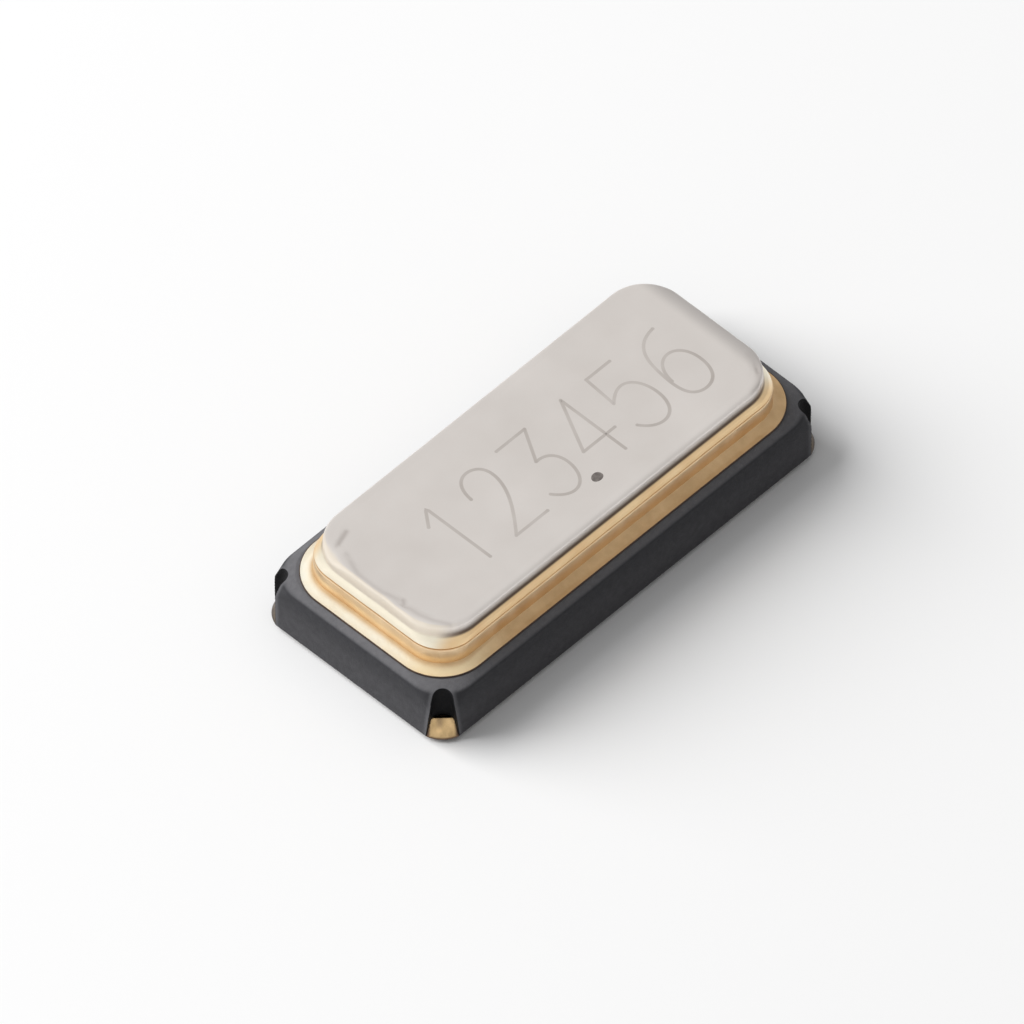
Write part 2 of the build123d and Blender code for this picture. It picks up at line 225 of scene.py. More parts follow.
def face_outwards(bm):
    """Turns all faces of closed shells to the outside."""
    bmesh.ops.recalc_face_normals(bm, faces=bm.faces)
    if bm.calc_volume(signed=True) < 0:
        bmesh.ops.reverse_faces(bm, faces=bm.faces)


def new_mesh(bm, name):
    mesh = bpy.data.meshes.new(name)
    bm.to_mesh(mesh)
    bm.free()
    return mesh


def new_object(name, data):
    made = bpy.data.objects.new(name, data)
    bpy.context.scene.collection.objects.link(made)
    return made


def finish_piece(bm, name, material, replaces=(), smooth_angle=35):
    """Turns a bmesh in millimetres into a piece in metres that rides on the package."""
    bmesh.ops.remove_doubles(bm, verts=bm.verts, dist=1e-5)
    face_outwards(bm)
    bmesh.ops.scale(bm, verts=bm.verts, vec=(MM, MM, MM))
    mesh = new_mesh(bm, name)
    mesh.materials.append(material)
    mesh.shade_smooth()
    mesh.set_sharp_from_angle(angle=radians(smooth_angle))
    piece = new_object(name, mesh)
    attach(piece, "root")
    if replaces:
        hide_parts(*replaces)
    return piece


def boolean(bm, cutters):
    """Applies (bmesh, operation) pairs to a bmesh in turn and returns the result as a new bmesh."""
    face_outwards(bm)
    helpers = [new_object("block", new_mesh(bm, "block"))]
    for cutter_bm, operation in cutters:
        face_outwards(cutter_bm)
        helpers.append(new_object("cutter", new_mesh(cutter_bm, "cutter")))
        modifier = helpers[0].modifiers.new(operation, "BOOLEAN")
        modifier.operation = operation
        modifier.object = helpers[-1]
        modifier.solver = "EXACT"
    bpy.context.view_layer.update()
    result = bmesh.new()
    result.from_object(helpers[0], bpy.context.evaluated_depsgraph_get())
    for helper in helpers:
        bpy.data.objects.remove(helper)
    return result


# Materials


def add_node(tree, kind, **settings):
    made = tree.nodes.new(kind)
    for key, value in settings.items():
        setattr(made, key, value)
    return made


def math_node(tree, operation, a, b=0.0):
    made = add_node(tree, "ShaderNodeMath", operation=operation)
    for socket, value in zip(made.inputs, (a, b)):
        if isinstance(value, (int, float)):
            socket.default_value = value
        else:
            tree.links.new(value, socket)
    return made.outputs[0]


def one_minus(tree, value):
    return math_node(tree, "SUBTRACT", 1, value)


def product(tree, *values):
    result = values[0]
    for value in values[1:]:
        result = math_node(tree, "MULTIPLY", result, value)
    return result


def new_group(name, inputs, outputs):
    """A shader node group with named sockets, and its input and output nodes."""
    group = bpy.data.node_groups.new(name, "ShaderNodeTree")
    for socket, kind in inputs.items():
        group.interface.new_socket(socket, in_out="INPUT", socket_type=kind)
    for socket, kind in outputs.items():
        group.interface.new_socket(socket, in_out="OUTPUT", socket_type=kind)
    return group, add_node(group, "NodeGroupInput"), add_node(group, "NodeGroupOutput")


def make_mottle_group():
    """Soft noise in object space: Scale is in waves per metre, and Stretch slows it along an axis."""
    group, given, result = new_group(
        "mottle",
        {
            "Scale": "NodeSocketFloat",
            "Stretch": "NodeSocketVector",
            "Detail": "NodeSocketFloat",
            "Low": "NodeSocketFloat",
            "High": "NodeSocketFloat",
        },
        {"Value": "NodeSocketFloat"},
    )
    place = add_node(group, "ShaderNodeTexCoord")
    stretch = add_node(group, "ShaderNodeVectorMath", operation="MULTIPLY")
    noise_node = add_node(group, "ShaderNodeTexNoise")
    spread = add_node(group, "ShaderNodeMapRange")
    links = (
        (place.outputs["Object"], stretch.inputs[0]),
        (given.outputs["Stretch"], stretch.inputs[1]),
        (stretch.outputs[0], noise_node.inputs["Vector"]),
        (given.outputs["Scale"], noise_node.inputs["Scale"]),
        (given.outputs["Detail"], noise_node.inputs["Detail"]),
        (noise_node.outputs["Fac"], spread.inputs["Value"]),
        (given.outputs["Low"], spread.inputs["To Min"]),
        (given.outputs["High"], spread.inputs["To Max"]),
        (spread.outputs["Result"], result.inputs["Value"]),
    )
    for start, end in links:
        group.links.new(start, end)
    spread.inputs["From Min"].default_value = 0.3
    spread.inputs["From Max"].default_value = 0.7
    return group


mottle_group = make_mottle_group()


def mottle(tree, scale, low=0.0, high=1.0, stretch=(1, 1, 1), detail=2.0):
    """A mottle in a material: scale is in waves per millimetre."""
    made = add_node(tree, "ShaderNodeGroup", node_tree=mottle_group)
    given = {"Scale": scale / MM, "Stretch": stretch, "Detail": detail, "Low": low, "High": high}
    for socket, value in given.items():
        made.inputs[socket].default_value = value
    return made.outputs["Value"]


def mix_colors(tree, share, first, second):
    made = add_node(tree, "ShaderNodeMix", data_type="RGBA")
    tree.links.new(share, made.inputs["Factor"])
    for socket, value in ((made.inputs["A"], first), (made.inputs["B"], second)):
        if isinstance(value, tuple):
            socket.default_value = (*value, 1)
        else:
            tree.links.new(value, socket)
    return made.outputs["Result"]


def mottled_color(tree, scale, first, second, stretch=(1, 1, 1), detail=3.0):
    """A colour that drifts from one to the other."""
    return mix_colors(tree, mottle(tree, scale, stretch=stretch, detail=detail), first, second)


def new_material(name, metallic=0.0):
    """A material with one Principled shader, and its tree and shader."""
    material = bpy.data.materials.new(name)
    material.use_nodes = True
    tree = material.node_tree
    shader = tree.nodes["Principled BSDF"]
    shader.inputs["Metallic"].default_value = metallic
    return material, tree, shader


def dress(tree, shader, color, roughness, relief, depth):
    """Gives a shader its colour, its roughness and a relief: depth is in micrometres."""
    bump = add_node(tree, "ShaderNodeBump")
    bump.inputs["Distance"].default_value = depth * 1e-6
    tree.links.new(relief, bump.inputs["Height"])
    tree.links.new(bump.outputs["Normal"], shader.inputs["Normal"])
    tree.links.new(color, shader.inputs["Base Color"])
    tree.links.new(roughness, shader.inputs["Roughness"])


def plain_finish(name, light, dark, metallic, roughness, scale, depth, stretch=(1, 1, 1)):
    """A finish with mottled colour, uneven roughness (low, high) and a fine relief."""
    material, tree, shader = new_material(name, metallic)
    rough = mottle(tree, scale * 2.3, *roughness, stretch=stretch)
    relief = mottle(tree, scale * 6, stretch=stretch, detail=4)
    dress(tree, shader, mottled_color(tree, scale, dark, light, stretch), rough, relief, depth)
    return material


def object_axis(tree, axis):
    """One coordinate of the piece, in millimetres."""
    place = add_node(tree, "ShaderNodeTexCoord")
    split = add_node(tree, "ShaderNodeSeparateXYZ")
    tree.links.new(place.outputs["Object"], split.inputs[0])
    return math_node(tree, "DIVIDE", split.outputs[axis], MM)


def ramp_between(tree, value, low, high):
    """0 below low, 1 above high and a smooth ramp between."""
    made = add_node(tree, "ShaderNodeMapRange", interpolation_type="SMOOTHSTEP")
    tree.links.new(value, made.inputs["Value"])
    made.inputs["From Min"].default_value = low
    made.inputs["From Max"].default_value = high
    return made.outputs["Result"]


def fall_between(tree, value, low, high):
    """1 below low, 0 above high and a smooth ramp between."""
    return one_minus(tree, ramp_between(tree, value, low, high))


nickel_light = (0.87, 0.82, 0.78)
nickel_dark = (0.81, 0.76, 0.72)

ring_gold = plain_finish(
    "ring_gold", (0.93, 0.71, 0.46), (0.83, 0.60, 0.36), 1.0, (0.30, 0.42), 7, 0.6, stretch=(1, 1, 0.25)
)
inner_gold = plain_finish("inner_gold", (0.87, 0.64, 0.35), (0.74, 0.50, 0.25), 1.0, (0.25, 0.4), 12, 0.5)
# Fired metal is dark brown; on the rim film it also paints the shade line at the foot of the braze.
fired_metal = plain_finish("fired_metal", (0.10, 0.065, 0.045), (0.05, 0.035, 0.03), 0.4, (0.5, 0.7), 18, 0.8)
adhesive = plain_finish("silver_resin", (0.50, 0.49, 0.47), (0.36, 0.35, 0.33), 0.3, (0.45, 0.65), 30, 1.0)
plug_solder = plain_finish("plug_solder", (0.78, 0.66, 0.46), (0.62, 0.52, 0.35), 1.0, (0.3, 0.5), 16, 1.5)


def corner_place(tree):
    """A point's place in its corner, in millimetres: how far in along the diagonal, and how far across it."""
    from_x, from_y = (
        math_node(tree, "SUBTRACT", half, math_node(tree, "ABSOLUTE", object_axis(tree, axis)))
        for half, axis in ((body_half_x, "X"), (body_half_y, "Y"))
    )
    inward = math_node(tree, "DIVIDE", math_node(tree, "ADD", from_x, from_y), DIAGONAL)
    across = math_node(tree, "DIVIDE", math_node(tree, "SUBTRACT", from_x, from_y), DIAGONAL)
    return inward, across


def make_ceramic_finish():
    """Matt black ceramic. Painted highlight: paler grey on the rim slope and along the lips of the grooves.
    Painted shade: the inside of the grooves near-black.
    """
    material, tree, shader = new_material("black_ceramic")
    shader.inputs["Specular IOR Level"].default_value = 0.06
    height = object_axis(tree, "Z")
    shoulder = ceramic_bottom + side_height
    foot = mottled_color(tree, 22, (0.058, 0.057, 0.061), (0.071, 0.070, 0.075))
    below_edge = mottled_color(tree, 22, (0.041, 0.041, 0.045), (0.049, 0.049, 0.053))
    # Painted highlight: this paler grey goes on the rim slope and along the groove lips.
    highlight_grey = mottled_color(tree, 30, (0.130, 0.129, 0.137), (0.154, 0.153, 0.162))
    color = mix_colors(tree, ramp_between(tree, height, 0.4 * shoulder, shoulder - 0.02), foot, below_edge)
    color = mix_colors(tree, ramp_between(tree, height, shoulder - 0.004, shoulder + 0.012), color, highlight_grey)

    # Distance from the groove's circle, which narrows upwards
    inward, across = corner_place(tree)
    taper = (groove_foot_radius - groove_head_radius) / rim_level
    radius = math_node(tree, "SUBTRACT", groove_foot_radius, product(tree, height, taper))
    from_axis = math_node(tree, "ADD", math_node(tree, "SUBTRACT", inward, groove_depth), radius)
    squares = (math_node(tree, "POWER", side, 2) for side in (from_axis, across))
    reach = math_node(tree, "SQRT", math_node(tree, "ADD", *squares))
    past_edge = math_node(tree, "SUBTRACT", reach, radius)
    # Painted highlight along the groove's lips.
    lip_highlight = fall_between(tree, past_edge, 0.006, 0.034)
    color = mix_colors(tree, product(tree, lip_highlight, 0.6), color, highlight_grey)
    # Painted shade: the inside of the groove is near-black.
    inside = fall_between(tree, past_edge, 0.001, 0.006)
    color = mix_colors(tree, inside, color, (0.010, 0.010, 0.011))
    dress(tree, shader, color, mottle(tree, 50, 0.50, 0.62), mottle(tree, 130, detail=4), 1.2)
    return material


ceramic = make_ceramic_finish()


def make_braze_finish():
    """Braze gold. Painted highlight: pale cream at the -X end, warmer at its -Y corner; deep gold along the
    rest and where it climbs the ring.
    """
    material, tree, shader = new_material("braze_gold", metallic=0.6)
    half_x, half_y, bottom, top = extent("braze_fillet")
    # Painted highlight: the pale cream stands in for the light that falls on the -X end.
    pale = mottled_color(tree, 9, (0.98, 0.90, 0.72), (1.0, 0.98, 0.86))
    deep = mottled_color(tree, 9, (0.60, 0.405, 0.21), (0.71, 0.495, 0.27))
    past_corner = ramp_between(tree, object_axis(tree, "Y"), 0.15 - half_y, 0.45 - half_y)
    pale = mix_colors(tree, past_corner, (0.97, 0.81, 0.53), pale)
    along = ramp_between(tree, object_axis(tree, "X"), -half_x + 0.12, -half_x + 0.65)
    climb = ramp_between(tree, object_axis(tree, "Z"), lerp(bottom, top, 0.12), lerp(bottom, top, 0.9))
    color = mix_colors(tree, math_node(tree, "MAXIMUM", along, climb), pale, deep)
    dress(tree, shader, color, mottle(tree, 20, 0.46, 0.60), mottle(tree, 54, detail=4), 0.8)
    return material


braze_gold = make_braze_finish()


def make_heel_finish():
    """Terminal gold. The heels carry a painted dark reflection band, and painted shade along their foot and
    where they meet the ceramic, and two opposite ones are darkened grey-brown."""
    material, tree, shader = new_material("heel_gold", metallic=1.0)
    color = mottled_color(tree, 22, (0.46, 0.32, 0.16), (0.74, 0.52, 0.27), stretch=(1, 1, 0.3))
    height = object_axis(tree, "Z")
    inward, across = corner_place(tree)
    on_heel = fall_between(tree, inward, groove_depth - 0.01, groove_depth + 0.02)
    # Painted reflection: a dark vertical band on the heel's face, left of its middle.
    from_reflection_band = math_node(tree, "ABSOLUTE", math_node(tree, "ADD", across, 0.017))
    reflection_band = fall_between(tree, from_reflection_band, 0.004, 0.030)
    reflection_band = product(tree, reflection_band, ramp_between(tree, height, 0.06, 0.11))
    # Painted shade at the sides, where the heel meets the ceramic, and along its foot.
    side = ramp_between(tree, math_node(tree, "ABSOLUTE", across), 0.064, 0.086)
    foot = fall_between(tree, height, ceramic_bottom + 0.002, ceramic_bottom + 0.014)
    edges = math_node(tree, "MAXIMUM", side, foot)
    dark = math_node(tree, "MAXIMUM", product(tree, reflection_band, 0.55), edges)
    color = mix_colors(tree, product(tree, dark, on_heel), color, (0.13, 0.085, 0.06))
    # The heels at the (-X, +Y) and (+X, -Y) corners are darkened grey-brown.
    corner = product(tree, object_axis(tree, "X"), object_axis(tree, "Y"))
    corner_darkening = product(tree, fall_between(tree, corner, -0.4, 0.4), on_heel)
    color = mix_colors(tree, product(tree, corner_darkening, 0.9), color, (0.13, 0.115, 0.105))
    dress(tree, shader, color, mottle(tree, 32, 0.28, 0.40), mottle(tree, 90, detail=4), 1.0)
    return material


heel_gold = make_heel_finish()


def make_quartz():
    """Clear etched quartz."""
    material, tree, shader = new_material("etched_quartz")
    shader.inputs["Transmission Weight"].default_value = 1.0
    shader.inputs["IOR"].default_value = 1.54
    color = mottled_color(tree, 10, (0.90, 0.94, 0.96), (0.97, 0.98, 1.0), detail=2)
    dress(tree, shader, color, mottle(tree, 25, 0.05, 0.2), mottle(tree, 80, detail=3), 0.3)
    return material


def make_lid_metal():
    """Satin nickel. The weld has drawn gold up over the flange, most of all on the long sides; elsewhere the
    flange is painted
    pale cream as a highlight. Painted shade: the flange's joint, a dark line at the crown's foot, the dents
    and the +X end;
    painted highlight: cream on the tilted faces at the -X end."""
    material, tree, shader = new_material("satin_nickel", metallic=1.0)
    height, length = object_axis(tree, "Z"), object_axis(tree, "X")
    side = math_node(tree, "ABSOLUTE", object_axis(tree, "Y"))
    long_side = ramp_between(tree, side, lid_half_y - 0.14, lid_half_y - 0.03)

    rich_gold = mottled_color(tree, 5, (0.86, 0.60, 0.33), (0.95, 0.72, 0.43), stretch=(1, 1, 0.3), detail=2)
    # Painted highlight: away from the long sides the flange is pale cream.
    flange = mix_colors(tree, long_side, (0.95, 0.88, 0.72), rich_gold)
    # Painted shade: darker gold in the joint at the flange's foot.
    joint_shade = fall_between(tree, height, lid_bottom + 0.004, lid_bottom + 0.013)
    flange = mix_colors(tree, joint_shade, flange, (0.70, 0.50, 0.29))

    nickel = mottled_color(tree, 2.2, nickel_dark, nickel_light, detail=2)
    # Painted highlight: cream on the tilted faces at the -X end, away from the long sides.
    facing = add_node(tree, "ShaderNodeSeparateXYZ")
    tree.links.new(add_node(tree, "ShaderNodeNewGeometry").outputs["Normal"], facing.inputs[0])
    tilted = fall_between(tree, facing.outputs["Z"], 0.72, 0.94)
    pale_end = fall_between(tree, length, -1.30, -1.0)
    end_highlight = product(tree, tilted, pale_end, one_minus(tree, long_side))
    crown = mix_colors(tree, end_highlight, nickel, (0.89, 0.81, 0.70))
    # Painted shade in and round the dents, read from a value stored on the points.
    dent_shade = add_node(tree, "ShaderNodeAttribute", attribute_name="dent_shade")
    crown = mix_colors(tree, dent_shade.outputs["Fac"], crown, (0.36, 0.31, 0.28))
    # Painted shade towards the +X end.
    far_end_shade = ramp_between(tree, length, lid_half_x - 0.16, lid_half_x - 0.05)
    crown = mix_colors(tree, product(tree, far_end_shade, 0.75), crown, (0.50, 0.47, 0.45))

    above = ramp_between(tree, height, flange_top - 0.006, flange_top + 0.005)
    color = mix_colors(tree, above, flange, crown)
    # Painted shade: a dark brown line at the crown's foot, fading upwards, strongest on the long sides.
    fade = fall_between(tree, height, flange_top + 0.010, flange_top + 0.056)
    crown_foot_shade = product(tree, ramp_between(tree, height, flange_top - 0.010, flange_top + 0.001), fade)
    strength = math_node(tree, "ADD", product(tree, long_side, 0.85), 0.10)
    color = mix_colors(tree, product(tree, crown_foot_shade, strength), color, (0.11, 0.07, 0.045))
    dress(tree, shader, color, mottle(tree, 6, 0.36, 0.48, detail=3), mottle(tree, 45, detail=4), 0.35)
    return material


# Lid: shell with a flange that the weld has left rounded, a crown and small dents from handling

lid_half_x, lid_half_y, lid_bottom, lid_top = extent("lid")
flange_top = lid_bottom + lid_flange_height
flange_corner_radius = ring_corner_radius - 0.003

# Dents pressed into the crown: x, y, length, width, turn in degrees and depth
dents = [
    (-1.41, 0.36, 0.12, 0.042, 70, 0.036),
    (-1.26, 0.40, 0.07, 0.014, 16, 0.007),
    (-1.375, -0.20, 0.045, 0.016, 100, 0.010),
    (-1.43, -0.36, 0.10, 0.045, 90, 0.016),
    (-1.28, -0.55, 0.06, 0.030, -10, 0.010),
    (1.32, -0.45, 0.05, 0.018, 60, 0.012),
    (1.36, -0.50, 0.06, 0.022, 40, 0.012),
    (1.24, -0.56, 0.07, 0.020, 5, 0.012),
]

# Painted shade in and round the dents on the crown: points along each, its width and strength
dent_shades = [
    ([(-1.205, 0.415), (-1.25, 0.40), (-1.315, 0.382)], 0.015, 0.45),
    ([(-1.33, 0.30), (-1.345, 0.255), (-1.39, 0.15), (-1.395, -0.05), (-1.362, -0.16)], 0.016, 0.22),
    ([(-1.352, -0.178), (-1.366, -0.200)], 0.016, 0.42),
    ([(-1.370, -0.215), (-1.362, -0.32), (-1.335, -0.42), (-1.29, -0.50)], 0.016, 0.24),
    ([(-1.285, -0.545), (-1.25, -0.55)], 0.022, 0.30),
    ([(1.365, -0.34), (1.345, -0.41), (1.310, -0.465), (1.260, -0.515), (1.190, -0.545)], 0.026, 0.26),
    ([(1.318, -0.440), (1.300, -0.470)], 0.014, 0.40),
    ([(1.248, -0.530), (1.215, -0.545)], 0.015, 0.40),
]


def dent_shade_strength(x, y):
    strongest = 0.0
    here = Vector((x, y))
    for points, width, strength in dent_shades:
        for start, end in zip(points, points[1:]):
            start, run = Vector(start), Vector(end) - Vector(start)
            share = max(0.0, min(1.0, (here - start).dot(run) / run.length_squared))
            away = (here - start - run * share).length
            strongest = max(strongest, strength * exp(-((away / width) ** 2)))
    return strongest


def dent_depth(x, y):
    total = 0.0
    for centre_x, centre_y, length, width, turn, depth in dents:
        along = cos(radians(turn)) * (x - centre_x) + sin(radians(turn)) * (y - centre_y)
        across = cos(radians(turn)) * (y - centre_y) - sin(radians(turn)) * (x - centre_x)
        total += depth * exp(-((along / length) ** 2) - (across / width) ** 2)
    return total


def ripple_lid(vert):
    """The weld's ripple on the flange and the crown's edge, strongest at the -X end, and the dents."""
    x, y, z = vert.co
    toward_x, toward_y = x / lid_half_x, y / lid_half_y
    edge = max(abs(toward_x), abs(toward_y))
    if edge < 0.6 or z < lid_bottom + 0.5 * lid_foot_break:
        return
    end = smooth_step(-0.85, -1.0, toward_x) if x < 0 else 0.35 * smooth_step(0.85, 1.0, toward_x)
    crown = smooth_step(flange_top - 0.01, lid_top, z)
    slow = noise.noise(Vector((x * 7, y * 7, 3.1)))
    quick = noise.noise(Vector((x * 19, y * 19, 7.7)))
    most = lerp(0.0016, 0.007, end) * lerp(0.5, 1.0, crown)
    pull = most * (0.5 + 0.5 * slow + 0.25 * quick) * smooth_step(0.8, 0.95, edge)
    core_x = max(-1, min(1, toward_x * 1.2)) * (lid_half_x - 0.25)
    core_y = max(-1, min(1, toward_y * 1.2)) * (lid_half_y - 0.25)
    outward = Vector((x - core_x, y - core_y, 0))
    if outward.length > 1e-6:
        vert.co -= outward.normalized() * pull
    vert.co.z -= crown * dent_depth(x, y)


def lid_corner_radius(inset, level, pocket):
    """Corner radius of the lid's outline: the flange follows the ring's corners, the crown is rounder."""
    if inset > pocket - 0.001 and level < lid_top - 0.5 * lid_sheet:
        return flange_corner_radius - pocket
    if level < flange_top:
        share = max(0, level - lid_bottom - lid_foot_break) / (lid_flange_height - lid_foot_break)
        return lerp(flange_corner_radius, lid_crown_corner_radius, share)
    return max(lid_crown_corner_radius - max(0, inset - lid_step - lid_crown_lean), 0.02)


def make_lid():
    pocket = lid_step + lid_sheet
    crown_edge = lid_step + lid_crown_lean
    inner_edge = crown_edge + track_inset
    corners = [
        (pocket, lid_top - lid_sheet, 0),
        (pocket, lid_bottom, 0),
        (lid_foot_break, lid_bottom, 0.003),
        (0, lid_bottom + lid_foot_break, 0.006),
        (lid_flange_bulge_inset, lid_bottom + lid_flange_bulge * lid_flange_height, 0.04),
        (lid_step, flange_top, 0.003),
        (crown_edge, lid_top, lid_crown_radius),
        (inner_edge - track_width, lid_top, 0.004),
        (inner_edge, lid_top - track_depth, 0.02),
        (inner_edge + track_width, lid_top, 0.004),
        (lid_flat_inset, lid_top, 0),
    ]
    points = rounded_path(corners, 6)
    top_start = next(i for i, p in enumerate(points) if p.x > inner_edge + track_width * 1.01)
    flat = [Vector((lerp(points[top_start - 1].x, lid_flat_inset, k / 24), lid_top)) for k in range(1, 25)]
    walls = []
    for here, after in zip(points[:top_start], points[1:top_start]):
        walls.append(here)
        if (after - here).length > 0.015 and here.x < pocket and after.x < pocket:
            walls.extend(here.lerp(after, k / 4) for k in (1, 2, 3))
    walls.append(points[top_start - 1])
    outlines = [
        (lid_half_x - inset, lid_half_y - inset, lid_corner_radius(inset, level, pocket), level)
        for inset, level in walls + flat
    ]
    bm = bmesh.new()
    stack(bm, outlines, steps=24, cuts=(150, 60))
    # Strength of the painted dent shade at each point of the crown.
    dent_shade = bm.verts.layers.float.new("dent_shade")
    for vert in bm.verts:
        if vert.co.z > flange_top + 0.04:
            vert[dent_shade] = dent_shade_strength(vert.co.x, vert.co.y)
        ripple_lid(vert)
    return finish_piece(bm, "lid_shell", make_lid_metal(), ["lid"])


# Ring, braze and film under the lid


def band_section(width, bottom, top, edge_radius):
    """Corners (inset, level, radius) of a flat band's section, with its upper outer edge rounded."""
    return [
        (width / 2, bottom, 0),
        (0, bottom, 0.001),
        (0, top, edge_radius),
        (width, top, 0.001),
        (width, bottom, 0.001),
        (width / 2 + 0.001, bottom, 0),
    ]


def make_ring():
    half_x, half_y, bottom, top = extent("seal_ring")
    corners = band_section(ring_width, bottom, top, ring_edge_radius)
    bm = bmesh.new()
    outlines = inset_outlines(half_x, half_y, ring_corner_radius, rounded_path(corners, 4), 0.08)
    stack(bm, outlines, steps=24, cuts=(60, 24), ring=True)
    return finish_piece(bm, "seal_ring_wall", ring_gold, ["seal_ring"])


def make_braze():
    """The hollow fillet of braze from the rim film up the ring's wall, and the layer under the ring."""
    half_x, half_y, bottom, top = extent("braze_fillet")
    ring_x = extent("seal_ring")[0]
    reach = half_x - ring_x
    rise = top - bottom
    bend = (reach * reach + rise * rise) / (2 * rise)
    sweep = acos(1 - rise / bend)
    hollow = [
        Vector((bend * sin(sweep * k / 10), bottom + bend * (1 - cos(sweep * k / 10)))) for k in range(11)
    ]
    layer_top = extent("seal_ring")[2]
    inner = reach + ring_width
    points = hollow + [Vector((reach, layer_top)), Vector((inner, layer_top)), Vector((inner, bottom))]
    bm = bmesh.new()
    outlines = inset_outlines(half_x, half_y, ring_corner_radius + reach, points, 0.08)
    stack(bm, outlines, steps=28, cuts=(80, 32), ring=True)
    for vert in bm.verts:
        if vert.co.z > bottom + 0.002:
            wave = noise.noise(Vector((vert.co.x * 5, vert.co.y * 5, 1.7)))
            vert.co.z = min(vert.co.z + 0.003 * wave, top)
    return finish_piece(bm, "braze_band", braze_gold, ["braze_fillet"])


def make_film():
    half_x, half_y, bottom, top = extent("rim_metallization")
    reach = half_x - extent("seal_ring")[0]
    corners = band_section(reach + ring_width, bottom, top, film_edge_radius)
    bm = bmesh.new()
    outlines = inset_outlines(half_x, half_y, ring_corner_radius + reach, rounded_path(corners, 3), 0.08)
    stack(bm, outlines, steps=28, cuts=(20, 10), ring=True)
    return finish_piece(bm, "fired_rim_film", fired_metal, ["rim_metallization"])


# Ceramic package with its corner grooves


def groove_section(level):
    """Radius of the groove's circle at a level, and how far its centre lies inside the corner."""
    radius = lerp(groove_foot_radius, groove_head_radius, level / rim_level)
    return radius, groove_depth - radius


def to_corner(x, y):
    """Place of a point in its corner: how far in along the diagonal, and how far across it."""
    from_x = body_half_x - abs(x)
    from_y = body_half_y - abs(y)
    return (from_x + from_y) / DIAGONAL, (from_x - from_y) / DIAGONAL


def slice_across(bm, point, normal):
    """Adds a row of points to a mesh where a plane cuts it."""
    bmesh.ops.bisect_plane(
        bm, geom=bm.verts[:] + bm.edges[:] + bm.faces[:], dist=1e-5, plane_co=point, plane_no=normal
    )


def cut_groove(vert):
    """Moves a point of the outer skin in along the diagonal, out of the groove, with a rounded lip."""
    inward, across = to_corner(vert.co.x, vert.co.y)
    radius, centre = groove_section(vert.co.z)
    if abs(across) > radius + 2 * groove_lip or inward > groove_depth + 0.05:
        return
    if abs(across) < radius:
        wall = centre + sqrt(radius * radius - across * across)
    else:
        wall = centre - 4 * (abs(across) - radius)
    moved = -soft_least(-inward, -wall, groove_lip)
    step = (moved - inward) / DIAGONAL
    vert.co.x -= step if vert.co.x > 0 else -step
    vert.co.y -= step if vert.co.y > 0 else -step


def block(low, high):
    """A box between two opposite corners."""
    bm = bmesh.new()
    low, high = Vector(low), Vector(high)
    place = Matrix.Translation((low + high) / 2) @ Matrix.Diagonal((*(high - low), 1))
    bmesh.ops.create_cube(bm, size=1, matrix=place)
    return bm


def cylinder(radius, bottom, top):
    """A cylinder on the vacuum hole's axis."""
    bm = bmesh.new()
    place = Matrix.Translation((vacuum_hole_x, 0, (bottom + top) / 2))
    bmesh.ops.create_cone(
        bm, cap_ends=True, segments=96, radius1=radius, radius2=radius, depth=top - bottom, matrix=place
    )
    return bm


